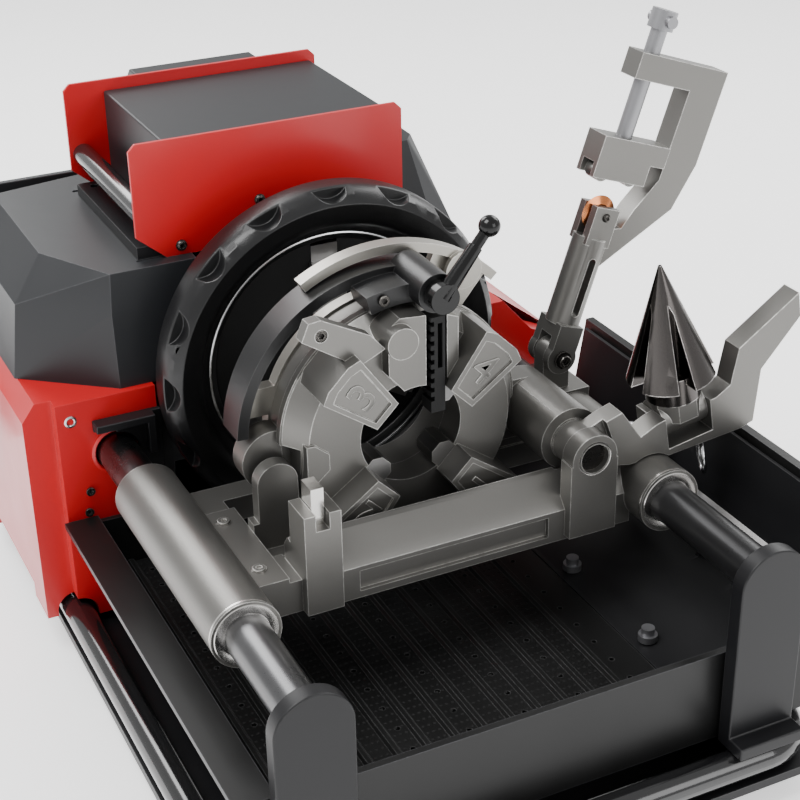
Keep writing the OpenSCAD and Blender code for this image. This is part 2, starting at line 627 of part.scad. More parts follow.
module reamer_cone() color("#1d1d1f") rm() translate([205, 96.5, 4.75]) difference() {
    union() {
        cylinder(h = 24, r = 23);
        translate([0, 0, 19]) intersection() {
            cylinder(h = reamer_l, r1 = reamer_r, r2 = 1.5);
            linear_extrude(reamer_l) polygon([for (i = [0:4]) each [
                [60 * cos(72 * i), 60 * sin(72 * i)], [60 * cos(72 * i + 48), 60 * sin(72 * i + 48)],
                [12 * cos(72 * i + 54), 12 * sin(72 * i + 54)],
                [15 * cos(72 * i + 69), 15 * sin(72 * i + 69)]]]);
        }
    }
    rotate(-70) xcyl(19, 30, 0, 11, 3.5);
}

base_skid();
base_plate();
rubber_feet();
headstock_casting();
spindle_bearings();
rail_left();
rail_right();
rail_end_brackets();
oil_pan();
chip_tray();
pan_liner();
tray_bolts();
side_panel_left();
side_panel_right();
cover_left();
cover_right();
top_housing();
front_plate();
rear_plate();
carry_tube();
latch_bar();
rear_cover();
motor_can();
battery_pack();
cover_screws();
rail_bracket();
feed_rack();
motor_pinion();
power_paddle();
spindle_tube();
spindle_gear();
chuck_body();
chuck_ring();
jaw_a();
jaw_b();
jaw_c();
carriage_casting();
sleeve_bushings();
hinge_pins();
carriage_screws();
handwheel();
feed_pinion();
die_body();
die_front_plate();
size_link();
cam_plate();
throwout_bar();
clamp_lever();
die_1();
die_2();
die_3();
die_4();
cutter_frame();
cutter_wheel();
roller_carrier();
cutter_screw();
reamer_arm();
pull_ring();
reamer_head();
reamer_cone();
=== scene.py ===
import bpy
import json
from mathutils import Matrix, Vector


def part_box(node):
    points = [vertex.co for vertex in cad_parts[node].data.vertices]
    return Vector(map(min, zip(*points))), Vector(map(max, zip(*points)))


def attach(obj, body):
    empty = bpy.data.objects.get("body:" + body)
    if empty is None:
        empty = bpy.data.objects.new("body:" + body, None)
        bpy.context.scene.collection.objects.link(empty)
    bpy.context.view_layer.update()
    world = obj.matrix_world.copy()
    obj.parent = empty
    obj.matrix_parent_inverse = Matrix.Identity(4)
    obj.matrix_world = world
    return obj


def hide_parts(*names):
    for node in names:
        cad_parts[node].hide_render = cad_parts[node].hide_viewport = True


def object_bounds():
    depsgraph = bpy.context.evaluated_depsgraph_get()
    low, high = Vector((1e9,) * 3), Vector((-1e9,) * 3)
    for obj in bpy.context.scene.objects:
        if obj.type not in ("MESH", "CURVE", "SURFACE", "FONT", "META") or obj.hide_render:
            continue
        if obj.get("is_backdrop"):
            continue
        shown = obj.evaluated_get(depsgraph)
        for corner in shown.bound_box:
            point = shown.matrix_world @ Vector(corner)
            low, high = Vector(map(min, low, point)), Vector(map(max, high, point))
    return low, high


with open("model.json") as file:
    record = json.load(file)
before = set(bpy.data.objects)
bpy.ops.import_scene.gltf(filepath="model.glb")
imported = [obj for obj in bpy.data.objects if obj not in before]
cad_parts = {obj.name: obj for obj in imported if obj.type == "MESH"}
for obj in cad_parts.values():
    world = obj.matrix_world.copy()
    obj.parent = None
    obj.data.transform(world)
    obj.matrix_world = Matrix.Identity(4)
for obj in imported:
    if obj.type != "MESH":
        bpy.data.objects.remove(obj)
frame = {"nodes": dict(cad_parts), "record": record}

"""Looks of the pipe threading machine: finishes, softened castings and fine detail."""

import json
import logging
import math
from dataclasses import dataclass, field
from enum import Enum
from typing import Callable, Sequence

import bmesh
import bpy
from mathutils import Matrix, Vector

log = logging.getLogger("threader")
MM = 0.001
SPIKE = 0.0002  # metres a rounded copy may reach out of its CAD box
AXIS_X, AXIS_Z = -27.0, 265.0  # spindle frame's origin in the row frame, mm
RAIL_Y, RAIL_Z = 186.5, -67.6  # rail axes in the spindle frame, mm
HINGE_Y, HINGE_Z = 124.6, -21.0  # die head's hinge axis in the spindle frame, mm
ARM_RISE = 10.0  # rise of the parked reamer arm, degrees
CUTTER_LEAN = 19.0  # lean of the parked cutter, degrees
CUTTER_PIVOT = (83.0, 176.0, -5.0)  # cutter's pivot in the spindle frame, mm


# --------------------------------------------------------------------------- shader groups
def new_group(name: str, inputs: dict[str, float], outputs: Sequence[str]) -> bpy.types.NodeTree:
    """Make an empty shader group with float inputs.

    Args:
        name: group name.
        inputs: socket name to default value.
        outputs: names of float outputs.
    Returns:
        The node tree, with its group input and output nodes placed.
    """
    tree = bpy.data.node_groups.new(name, "ShaderNodeTree")
    for label, value in inputs.items():
        tree.interface.new_socket(label, in_out="INPUT", socket_type="NodeSocketFloat").default_value = value
    for label in outputs:
        tree.interface.new_socket(label, in_out="OUTPUT", socket_type="NodeSocketFloat")
    tree.nodes.new("NodeGroupInput").name = "in"
    tree.nodes.new("NodeGroupOutput").name = "out"
    return tree


def math_node(tree: bpy.types.NodeTree, op: str, a: object, b: object = None,
        clamp: bool = False) -> bpy.types.NodeSocket:
    """Add a Math node fed by sockets or numbers and return its output."""
    n = tree.nodes.new("ShaderNodeMath")
    n.operation = op
    n.use_clamp = clamp
    for slot, value in zip(n.inputs, (a, b)):
        if isinstance(value, bpy.types.NodeSocket):
            tree.links.new(value, slot)
        elif value is not None:
            slot.default_value = value
    return n.outputs[0]


def noise_node(tree: bpy.types.NodeTree, scale: object, detail: float, rough: float = 0.55,
               vector: bpy.types.NodeSocket | None = None) -> bpy.types.NodeSocket:
    """Add a Noise Texture on object coordinates and return its Fac output."""
    n = tree.nodes.new("ShaderNodeTexNoise")
    n.inputs["Detail"].default_value = detail
    n.inputs["Roughness"].default_value = rough
    if isinstance(scale, bpy.types.NodeSocket):
        tree.links.new(scale, n.inputs["Scale"])
    else:
        n.inputs["Scale"].default_value = scale
    if vector is None:
        vector = tree.nodes.new("ShaderNodeTexCoord").outputs["Object"]
    tree.links.new(vector, n.inputs["Vector"])
    return n.outputs["Fac"]


def remap(tree: bpy.types.NodeTree, value: bpy.types.NodeSocket, lo: float, hi: float,
          to_lo: float = 0.0, to_hi: float = 1.0) -> bpy.types.NodeSocket:
    """Map a value from one range to another, clamped."""
    n = tree.nodes.new("ShaderNodeMapRange")
    tree.links.new(value, n.inputs["Value"])
    for label, number in (("From Min", lo), ("From Max", hi), ("To Min", to_lo), ("To Max", to_hi)):
        n.inputs[label].default_value = number
    return n.outputs["Result"]


def grain_group() -> bpy.types.NodeTree:
    """Cast or blasted skin: a height and a colour mask from fine and coarse noise."""
    tree = new_group("cast_grain", {"Grain Scale": 900.0, "Patch Scale": 14.0, "Patch": 0.5},
            ("Height", "Mask"))
    gi, go = tree.nodes["in"], tree.nodes["out"]
    fine = noise_node(tree, gi.outputs["Grain Scale"], 3.0, 0.6)
    pit = tree.nodes.new("ShaderNodeTexVoronoi")
    tree.links.new(gi.outputs["Grain Scale"], pit.inputs["Scale"])
    tree.links.new(tree.nodes.new("ShaderNodeTexCoord").outputs["Object"], pit.inputs["Vector"])
    height = math_node(tree, "ADD", math_node(tree, "MULTIPLY", fine, 0.7),
            math_node(tree, "MULTIPLY", pit.outputs["Distance"], 0.4))
    patch = remap(tree, noise_node(tree, gi.outputs["Patch Scale"], 4.0), 0.35, 0.68)
    mask = math_node(tree, "ADD", math_node(tree, "MULTIPLY", patch, gi.outputs["Patch"]),
                     math_node(tree, "MULTIPLY", fine, math_node(tree, "SUBTRACT", 1.0, gi.outputs["Patch"])),
                     clamp=True)
    tree.links.new(height, go.inputs["Height"])
    tree.links.new(mask, go.inputs["Mask"])
    return tree


def edge_wear_and_highlight_group() -> bpy.types.NodeTree:
    """Edge wear and painted edge highlight: where a rounded normal leaves the true one, broken up by noise."""
    tree = new_group("edge_wear", {"Amount": 0.5, "Break Scale": 160.0}, ("Mask",))
    gi, go = tree.nodes["in"], tree.nodes["out"]
    bevel = tree.nodes.new("ShaderNodeBevel")
    bevel.samples = 4
    bevel.inputs["Radius"].default_value = 0.0012
    dot = tree.nodes.new("ShaderNodeVectorMath")
    dot.operation = "DOT_PRODUCT"
    tree.links.new(bevel.outputs[0], dot.inputs[0])
    tree.links.new(tree.nodes.new("ShaderNodeNewGeometry").outputs["Normal"], dot.inputs[1])
    edge = remap(tree, dot.outputs["Value"], 0.995, 0.93)
    broken = remap(tree, noise_node(tree, gi.outputs["Break Scale"], 5.0), 0.30, 0.55, 0.35, 1.0)
    mask = math_node(tree, "MULTIPLY", math_node(tree, "MULTIPLY", edge, broken), gi.outputs["Amount"],
            clamp=True)
    tree.links.new(mask, go.inputs["Mask"])
    return tree


def dust_group() -> bpy.types.NodeTree:
    """Fine settled dust: a mask that is strongest on faces that look up."""
    tree = new_group("settled_dust", {"Amount": 0.2}, ("Mask",))
    gi, go = tree.nodes["in"], tree.nodes["out"]
    split = tree.nodes.new("ShaderNodeSeparateXYZ")
    tree.links.new(tree.nodes.new("ShaderNodeNewGeometry").outputs["Normal"], split.inputs[0])
    up = remap(tree, split.outputs["Z"], 0.2, 1.0)
    cloud = remap(tree, noise_node(tree, 22.0, 6.0, 0.7), 0.4, 0.75)
    mask = math_node(tree, "MULTIPLY", math_node(tree, "MULTIPLY", up, cloud), gi.outputs["Amount"], clamp=True)
    tree.links.new(mask, go.inputs["Mask"])
    return tree


def lathe_group() -> bpy.types.NodeTree:
    """Turned marks round an X axis: rings of fine height along X and radius."""
    tree = new_group("turned_marks", {"Pitch Scale": 1500.0}, ("Height",))
    gi, go = tree.nodes["in"], tree.nodes["out"]
    stretch = tree.nodes.new("ShaderNodeMapping")
    stretch.inputs["Scale"].default_value = (1.0, 0.04, 0.04)
    tree.links.new(tree.nodes.new("ShaderNodeTexCoord").outputs["Object"], stretch.inputs["Vector"])
    tree.links.new(noise_node(tree, gi.outputs["Pitch Scale"], 2.0, 0.5, stretch.outputs[0]),
            go.inputs["Height"])
    return tree


GROUPS = {g.name: g for g in (grain_group(), edge_wear_and_highlight_group(), dust_group(), lathe_group())}


# --------------------------------------------------------------------------- finishes
class Skin(Enum):
    """How a finish's surface is broken up."""

    GRAIN = "cast_grain"
    TURNED = "turned_marks"


@dataclass(frozen=True)
class Finish:
    """One paint, plating, moulding or bare metal surface."""

    name: str
    color: tuple[float, float, float]
    tint: tuple[float, float, float]
    metallic: float = 0.0
    rough: tuple[float, float] = (0.4, 0.5)
    skin: Skin = Skin.GRAIN
    scale: float = 900.0
    patch_scale: float = 14.0
    patch: float = 0.5
    bump: float = 0.1
    depth: float = 0.0002
    # amount and colour of the edge mask: real wear together with a painted highlight along sharp edges
    wear_and_highlight: float = 0.0
    worn_and_highlight_color: tuple[float, float, float] = (0.5, 0.5, 0.5)
    dust: float = 0.0
    coat: float = 0.0
    specular: float = 0.5

    def material(self) -> bpy.types.Material:
        """The material of this finish, built on first use."""
        found = bpy.data.materials.get(self.name)
        return found or self._build()

    def _group(self, tree: bpy.types.NodeTree, name: str, **values: float) -> bpy.types.Node:
        """Place a shader group in the material and set its inputs."""
        n = tree.nodes.new("ShaderNodeGroup")
        n.node_tree = GROUPS[name]
        for label, value in values.items():
            n.inputs[label.replace("_", " ")].default_value = value
        return n

    def _mix(self, tree: bpy.types.NodeTree, mask: bpy.types.NodeSocket, a: object,
            b: Sequence[float]) -> bpy.types.NodeSocket:
        """Mix a colour or socket towards a fixed colour by a mask."""
        n = tree.nodes.new("ShaderNodeMix")
        n.data_type = "RGBA"
        tree.links.new(mask, n.inputs["Factor"])
        if isinstance(a, bpy.types.NodeSocket):
            tree.links.new(a, n.inputs["A"])
        else:
            n.inputs["A"].default_value = (*a, 1.0)
        n.inputs["B"].default_value = (*b, 1.0)
        return n.outputs["Result"]

    def _build(self) -> bpy.types.Material:
        """Build the node tree: colour, roughness and bump from the skin, then edge wear with a painted edge
        highlight, and dust.
        """
        mat = bpy.data.materials.new(self.name)
        mat.use_nodes = True
        tree = mat.node_tree
        shader = tree.nodes["Principled BSDF"]
        grain = self._group(tree, "cast_grain", Grain_Scale=self.scale, Patch_Scale=self.patch_scale,
                Patch=self.patch)
        height = grain.outputs["Height"]
        if self.skin is Skin.TURNED:
            height = self._group(tree, "turned_marks", Pitch_Scale=self.scale).outputs["Height"]
        color = self._mix(tree, grain.outputs["Mask"], self.color, self.tint)
        rough = remap(tree, grain.outputs["Mask"], 0.0, 1.0, *self.rough)
        # edges mix towards a lighter colour: partly real wear, partly a painted highlight
        if self.wear_and_highlight:
            mask = self._group(tree, "edge_wear", Amount=self.wear_and_highlight).outputs["Mask"]
            color = self._mix(tree, mask, color, self.worn_and_highlight_color)
        if self.dust:
            mask = self._group(tree, "settled_dust", Amount=self.dust).outputs["Mask"]
            color = self._mix(tree, mask, color, (0.45, 0.43, 0.41))
            rough = math_node(tree, "ADD", rough, math_node(tree, "MULTIPLY", mask, 0.4), clamp=True)
        tree.links.new(color, shader.inputs["Base Color"])
        tree.links.new(rough, shader.inputs["Roughness"])
        bump = tree.nodes.new("ShaderNodeBump")
        bump.inputs["Strength"].default_value = self.bump
        bump.inputs["Distance"].default_value = self.depth
        tree.links.new(height, bump.inputs["Height"])
        tree.links.new(bump.outputs[0], shader.inputs["Normal"])
        shader.inputs["Metallic"].default_value = self.metallic
        shader.inputs["Coat Weight"].default_value = self.coat
        shader.inputs["Coat Roughness"].default_value = 0.15
        shader.inputs["Specular IOR Level"].default_value = self.specular
        return mat


# The edge colours below are mostly much lighter than their bases: they paint edge wear together with a painted
# highlight along sharp edges; on the red coat the lighter red edge is a painted highlight.
RED = Finish("red_powder_coat", (0.56, 0.008, 0.012), (0.50, 0.007, 0.011), rough=(0.30, 0.40), scale=700,
    bump=0.06, wear_and_highlight=0.25, worn_and_highlight_color=(0.75, 0.10, 0.10), coat=0.25)
CHARCOAL = Finish("charcoal_moulding", (0.013, 0.014, 0.016), (0.017, 0.018, 0.020), specular=0.35,
    rough=(0.40, 0.48), scale=1800, bump=0.2, depth=0.00012, wear_and_highlight=0.5, worn_and_highlight_color=(0.13, 0.13, 0.14))
SKID_GLOSS = Finish("gloss_black_enamel", (0.006, 0.006, 0.007), (0.009, 0.009, 0.009), rough=(0.12, 0.18),
    coat=0.6)
PLATE_DARK = Finish("satin_dark_plate", (0.006, 0.006, 0.007), (0.009, 0.009, 0.010), rough=(0.34, 0.45),
    wear_and_highlight=0.5, worn_and_highlight_color=(0.12, 0.12, 0.12), specular=0.3)
RUBBER = Finish("foot_rubber", (0.012, 0.012, 0.012), (0.02, 0.02, 0.02), rough=(0.75, 0.9), scale=1200,
    bump=0.3)
CAST_DARK = Finish("dark_casting", (0.04, 0.04, 0.043), (0.06, 0.06, 0.063), rough=(0.5, 0.65), scale=600,
    bump=0.5, depth=0.0004, wear_and_highlight=0.4)
BRONZE = Finish("sintered_bronze", (0.45, 0.30, 0.13), (0.55, 0.38, 0.18), metallic=1.0, rough=(0.35, 0.5),
    bump=0.2)
RAIL_STEEL = Finish("ground_rail", (0.11, 0.11, 0.113), (0.16, 0.16, 0.163), metallic=1.0,
    rough=(0.24, 0.34), skin=Skin.TURNED, scale=900, bump=0.05)
RAIL_BLACK = Finish("black_rail", (0.018, 0.018, 0.019), (0.03, 0.03, 0.031), metallic=0.6,
    rough=(0.24, 0.34), skin=Skin.TURNED, scale=900, bump=0.06)
PAN = Finish("pan_sheet", (0.006, 0.006, 0.006), (0.009, 0.009, 0.009), rough=(0.3, 0.42), scale=500,
    bump=0.08, wear_and_highlight=0.5, worn_and_highlight_color=(0.10, 0.10, 0.11), specular=0.3)
TRAY = Finish("tray_sheet", (0.006, 0.006, 0.006), (0.009, 0.009, 0.009), rough=(0.36, 0.5), scale=900,
    bump=0.15, wear_and_highlight=0.7, worn_and_highlight_color=(0.10, 0.10, 0.10), specular=0.3)
# near-black discs in the tray's pits: painted shade inside the pits
PIT_SHADE = Finish("dark_pit", (0.0015, 0.0015, 0.0015), (0.002, 0.002, 0.002), rough=(0.8, 0.9))
LINER = Finish("liner_moulding", (0.007, 0.007, 0.008), (0.011, 0.011, 0.012), rough=(0.42, 0.55),
    scale=1500, bump=0.22, wear_and_highlight=0.5, worn_and_highlight_color=(0.07, 0.07, 0.075), specular=0.3)
BOLT = Finish("bolt_steel", (0.20, 0.195, 0.185), (0.30, 0.29, 0.275), metallic=1.0, rough=(0.26, 0.38),
    wear_and_highlight=0.5, bump=0.1)
CAST_ALU = Finish("blasted_casting", (0.165, 0.161, 0.152), (0.21, 0.205, 0.193), metallic=0.85,
    rough=(0.32, 0.42), scale=1300, patch_scale=9, patch=0.25, bump=0.35, depth=0.0002, wear_and_highlight=0.9,
    worn_and_highlight_color=(0.80, 0.79, 0.76))
BRIGHT = Finish("turned_bright", (0.60, 0.585, 0.56), (0.70, 0.685, 0.66), metallic=1.0, rough=(0.18, 0.3),
    skin=Skin.TURNED, scale=1400, bump=0.10)
GEAR = Finish("oiled_gear_steel", (0.22, 0.22, 0.23), (0.32, 0.31, 0.30), metallic=1.0, rough=(0.25, 0.4),
    wear_and_highlight=0.4)
CHUCK_BLACK = Finish("black_oxide", (0.005, 0.005, 0.0055), (0.009, 0.009, 0.009), metallic=0.3,
    rough=(0.5, 0.65), scale=900, bump=0.15)
RING_BLACK = Finish("textured_black_paint", (0.004, 0.004, 0.0045), (0.006, 0.006, 0.0065),
    rough=(0.26, 0.36), scale=1100, bump=0.5, depth=0.00025, wear_and_highlight=0.4, worn_and_highlight_color=(0.10, 0.10, 0.10),
    specular=0.45)
JAW = Finish("machined_jaw", (0.32, 0.32, 0.32), (0.45, 0.44, 0.43), metallic=1.0, rough=(0.25, 0.38),
    wear_and_highlight=0.5)
PIN_DARK = Finish("black_oxide_pin", (0.018, 0.017, 0.016), (0.035, 0.032, 0.03), metallic=0.8,
    rough=(0.22, 0.34), wear_and_highlight=0.6, worn_and_highlight_color=(0.4, 0.38, 0.35))
CAM = Finish("ground_cam_plate", (0.36, 0.345, 0.31), (0.46, 0.44, 0.40), metallic=0.9, rough=(0.30, 0.42),
    wear_and_highlight=0.7, bump=0.2, worn_and_highlight_color=(0.8, 0.78, 0.74))
LEVER = Finish("polished_black_grip", (0.003, 0.003, 0.003), (0.004, 0.004, 0.004), rough=(0.12, 0.2),
    bump=0.02, specular=0.35)
DIE = Finish("die_tool_steel", (0.25, 0.25, 0.25), (0.36, 0.35, 0.34), metallic=1.0, rough=(0.25, 0.4),
    wear_and_highlight=0.8, worn_and_highlight_color=(0.75, 0.72, 0.68))
COPPER = Finish("copper_plating", (0.60, 0.20, 0.075), (0.70, 0.28, 0.12), metallic=1.0, rough=(0.16, 0.26),
    bump=0.08)
ZINC = Finish("bright_zinc", (0.55, 0.56, 0.57), (0.66, 0.66, 0.67), metallic=1.0, rough=(0.15, 0.28),
    bump=0.06)
REAMER = Finish("black_reamer_steel", (0.075, 0.070, 0.068), (0.11, 0.10, 0.095), metallic=1.0,
    rough=(0.16, 0.26), patch_scale=8, patch=0.3, wear_and_highlight=1.0, worn_and_highlight_color=(0.75, 0.72, 0.70), bump=0.12)
MOTOR = Finish("motor_casting", (0.16, 0.16, 0.165), (0.22, 0.22, 0.225), metallic=0.7, rough=(0.4, 0.55),
    bump=0.3)
FLOOR = Finish("studio_floor", (0.90, 0.90, 0.90), (0.92, 0.92, 0.92), rough=(0.6, 0.7), scale=40,
    bump=0.02)

NODE_FINISH: dict[str, Finish] = {
    "base_skid": SKID_GLOSS, "base_plate": PLATE_DARK, "rubber_feet": RUBBER, "headstock_casting": CAST_DARK,
    "spindle_bearings": BRONZE, "rail_left": RAIL_STEEL, "rail_right": RAIL_BLACK,
            "rail_end_brackets": PLATE_DARK,
    "oil_pan": PAN, "chip_tray": TRAY, "pan_liner": LINER, "tray_bolts": BOLT, "side_panel_left": RED,
    "side_panel_right": RED, "cover_left": CHARCOAL, "cover_right": CHARCOAL, "top_housing": CHARCOAL,
    "front_plate": RED, "rear_plate": RED, "carry_tube": SKID_GLOSS, "latch_bar": PLATE_DARK,
            "rear_cover": CHARCOAL,
    "motor_can": MOTOR, "battery_pack": CHARCOAL, "cover_screws": PIN_DARK, "rail_bracket": LINER,
            "feed_rack": GEAR,
    "motor_pinion": GEAR, "power_paddle": RED, "spindle_tube": GEAR, "spindle_gear": GEAR,
            "chuck_body": CHUCK_BLACK,
    "chuck_ring": RING_BLACK, "jaw_a": JAW, "jaw_b": JAW, "jaw_c": JAW, "carriage_casting": CAST_ALU,
    "sleeve_bushings": BRIGHT, "hinge_pins": PIN_DARK, "carriage_screws": BRIGHT, "handwheel": ZINC,
            "feed_pinion": GEAR,
    "die_body": CAST_ALU, "die_front_plate": CAST_ALU, "size_link": CHUCK_BLACK, "cam_plate": CAM,
            "throwout_bar": RING_BLACK,
    "clamp_lever": LEVER, "die_1": DIE, "die_2": DIE, "die_3": DIE, "die_4": DIE, "cutter_frame": CAST_ALU,
    "cutter_wheel": COPPER, "roller_carrier": CAST_ALU, "cutter_screw": BOLT, "reamer_arm": CAST_ALU,
            "pull_ring": ZINC,
    "reamer_head": CAST_ALU, "reamer_cone": REAMER,
}


def dress(obj: bpy.types.Object, finish: Finish) -> None:
    """Give an object one finish in every material slot."""
    mat = finish.material()
    if not obj.data.materials:
        obj.data.materials.append(mat)
    for i in range(len(obj.material_slots)):
        obj.material_slots[i].material = mat


# --------------------------------------------------------------------------- stage
@dataclass
class Stage:
    """Floor, lights and camera."""

    spindle: Vector = field(default_factory=lambda: Vector((-0.027, 0.0, 0.265)))
    azimuth: float = 64.43
    elevation: float = 27.57
    roll: float = -1.0
    lens: float = 75.33
    eye: Vector = field(default_factory=lambda: Vector((1.20967, -0.51066, 0.63544)))

    def floor(self) -> None:
        """A wide pale floor under the feet."""
        bm = bmesh.new()
        bmesh.ops.create_grid(bm, x_segments=2, y_segments=2, size=9.0)
        mesh = bpy.data.meshes.new("studio_floor")
        bm.to_mesh(mesh)
        bm.free()
        obj = bpy.data.objects.new("studio_floor", mesh)
        bpy.context.scene.collection.objects.link(obj)
        obj.location.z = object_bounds()[0][2] - 0.0005
        dress(obj, FLOOR)
        shader = obj.data.materials[0].node_tree.nodes["Principled BSDF"]
        shader.inputs["Emission Color"].default_value = (1.0, 1.0, 1.0, 1.0)
        shader.inputs["Emission Strength"].default_value = 0.8
        obj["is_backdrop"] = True

    def lamp(self, name: str, spot: Sequence[float], aim: Sequence[float], size: float, power: float) -> None:
        """One square area light aimed at a point."""
        data = bpy.data.lights.new(name, "AREA")
        data.size = size
        data.energy = power
        obj = bpy.data.objects.new(name, data)
        obj.location = spot
        obj.rotation_euler = (Vector(aim) - Vector(spot)).to_track_quat("-Z", "Y").to_euler()
        bpy.context.scene.collection.objects.link(obj)

    def lights(self) -> None:
        """Soft studio light: a high key, a broad side fill and a back strip, with a bright world."""
        self.lamp("key", (0.1, -1.2, 2.4), (0, 0, 0.25), 1.3, 62)
        self.lamp("side", (-0.7, 1.9, 1.6), (0, 0, 0.25), 1.4, 34)
        self.lamp("back", (-1.9, -0.4, 1.7), (0, 0, 0.3), 1.2, 35)
        self.lamp("front", (2.2, 0.9, 1.2), (0.1, 0, 0.2), 1.2, 16)
        world = bpy.data.worlds.new("studio")
        bpy.context.scene.world = world
        world.use_nodes = True
        back = world.node_tree.nodes["Background"]
        back.inputs["Color"].default_value = (1.0, 1.0, 1.0, 1.0)
        back.inputs["Strength"].default_value = 0.8

    def camera(self) -> None:
        """Camera on the machine's left front, looking down at the chuck."""
        a, e, r = (math.radians(v) for v in (self.azimuth, self.elevation, self.roll))
        back = Vector((math.sin(a) * math.cos(e), -math.cos(a) * math.cos(e), math.sin(e)))
        right = (-back).cross(Vector((0, 0, 1))).normalized()
        up = right.cross(-back)
        turned = right * math.cos(r) + up * math.sin(r)
        over = -right * math.sin(r) + up * math.cos(r)
        data = bpy.data.cameras.new("view")
        data.lens = self.lens
        data.sensor_width = 36.0
        data.clip_end = 30.0
        obj = bpy.data.objects.new("view", data)
        rot = Matrix((turned, over, back)).transposed().to_4x4()
        obj.matrix_world = Matrix.Translation(self.spindle + self.eye) @ rot
        bpy.context.scene.collection.objects.link(obj)
        bpy.context.scene.camera = obj

    def build(self) -> None:
        """Set up everything that isn't part of the object."""
        self.floor()
        self.lights()
        self.camera()


# --------------------------------------------------------------------------- softened CAD shapes
def softened(node: str, width: float, segments: int = 3, angle: float = 32.0) -> bpy.types.Object:
    """A copy of a CAD node with its sharp edges rounded, standing for that node.

    Args:
        node: CAD node name.
        width: bevel width in millimetres.
        segments: bevel segments.
        angle: edges sharper than this, in degrees, are rounded.
    Returns:
        The new piece, dressed, riding on the node's body.
    """
    src = frame["nodes"][node]
    bm = bmesh.new()
    bm.from_mesh(src.data)
    bmesh.ops.remove_doubles(bm, verts=bm.verts, dist=2e-6)
    bmesh.ops.dissolve_degenerate(bm, dist=5e-5, edges=bm.edges)
    bmesh.ops.dissolve_limit(bm, angle_limit=math.radians(0.4), verts=bm.verts, edges=bm.edges)
    bmesh.ops.recalc_face_normals(bm, faces=bm.faces)
    for f in bm.faces:
        f.smooth = True
    base = bpy.data.meshes.new(f"{node}_form")
    bm.to_mesh(base)
    bm.free()
    obj = bpy.data.objects.new(f"{node}_form", base)
    bpy.context.scene.collection.objects.link(obj)
    lo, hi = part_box(node)
    for share in (1.0, 0.5, 0.25, 0.1):
        obj.data = base
        mod = obj.modifiers.new("round", "BEVEL")
        mod.width = width * share * MM
        mod.segments = segments
        mod.limit_method = "ANGLE"
        mod.angle_limit = math.radians(angle)
        mod.use_clamp_overlap = True
        even = obj.modifiers.new("even", "WEIGHTED_NORMAL")
        even.weight = 90
        settle(obj)
        reach = max(max(lo[k] - v.co[k], v.co[k] - hi[k]) for v in obj.data.vertices for k in range(3))
        if reach < SPIKE:
            break
        log.info("bevel of %s reaches %.1f mm out of its box, so it is made narrower", node, reach / MM)
    else:
        obj.data = base
    dress(obj, NODE_FINISH[node])
    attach(obj, body_name(node))
    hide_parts(node)
    log.info("softened %s", node)
    return obj


def settle(obj: bpy.types.Object) -> None:
    """Apply an object's modifiers by swapping in its evaluated mesh."""
    bpy.context.view_layer.update()
    done = bpy.data.meshes.new_from_object(obj.evaluated_get(bpy.context.evaluated_depsgraph_get()))
    obj.modifiers.clear()
    obj.data = done


def body_name(node: str) -> str:
    """The body that holds a CAD node."""
    bodies = frame["record"]["behaviour"]["bodies"]
    return next(name for name, members in bodies.items() if node in members)


# --------------------------------------------------------------------------- solids of revolution and screws
SF = Matrix.Translation((AXIS_X * MM, 0.0, AXIS_Z * MM))


def aimed(spot: Sequence[float], facing: Sequence[float]) -> Matrix:
    """Matrix that puts a local origin at a spindle-frame point in mm, with local Z along a direction."""
    return SF @ Matrix.Translation(Vector(spot) * MM) @ Vector(facing).to_track_quat("Z",
            "Y").to_matrix().to_4x4()


def new_piece(name: str, bm: bmesh.types.BMesh, finish: Finish, body: str,
        smooth: float = 35.0) -> bpy.types.Object:
    """Turn a bmesh into a dressed piece that rides on a body.

    Args:
        name: piece name.
        bm: geometry in metres, in the row frame; freed here.
        finish: its finish.
        body: CAD body it moves with.
        smooth: edges sharper than this, in degrees, stay sharp.
    Returns:
        The object.
    """
    bmesh.ops.recalc_face_normals(bm, faces=bm.faces)
    for f in bm.faces:
        f.smooth = True
    for e in bm.edges:
        if len(e.link_faces) == 2 and e.calc_face_angle(0.0) > math.radians(smooth):
            e.smooth = False
    mesh = bpy.data.meshes.new(name)
    bm.to_mesh(mesh)
    bm.free()
    obj = bpy.data.objects.new(name, mesh)
    bpy.context.scene.collection.objects.link(obj)
    dress(obj, finish)
    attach(obj, body)
    log.info("made %s", name)
    return obj


def revolve(bm: bmesh.types.BMesh, profile: Sequence[tuple[float, float]], place: Matrix, steps: int = 48,
            shape: Callable[[int, float], float] | None = None) -> None:
    """Add a solid of revolution about local Z.

    Args:
        bm: target.
        profile: (radius, height) in mm. A closed loop, unless it starts and ends on the axis.
        place: matrix from the local frame to the row frame.
        steps: steps round the axis.
        shape: gives the radius factor for a profile point and an angle, for rings that aren't round.
    """
    rings: list[list[bmesh.types.BMVert]] = []
    for k, (r, h) in enumerate(profile):
        if r <= 0:
            rings.append([bm.verts.new(place @ Vector((0, 0, h * MM)))])
            continue
        ring = []
        for i in range(steps):
            a = math.tau * i / steps
            q = r * (shape(k, a) if shape else 1.0)
            ring.append(bm.verts.new(place @ Vector((q * math.cos(a) * MM, q * math.sin(a) * MM, h * MM))))
        rings.append(ring)
    pairs = list(zip(rings, rings[1:]))
    if profile[0][0] > 0:
        pairs.append((rings[-1], rings[0]))
    for lo, hi in pairs:
        for i in range(steps):
            j = (i + 1) % steps
            corners = [lo[i % len(lo)], lo[j % len(lo)], hi[j % len(hi)], hi[i % len(hi)]]
            bm.faces.new(list(dict.fromkeys(corners)))


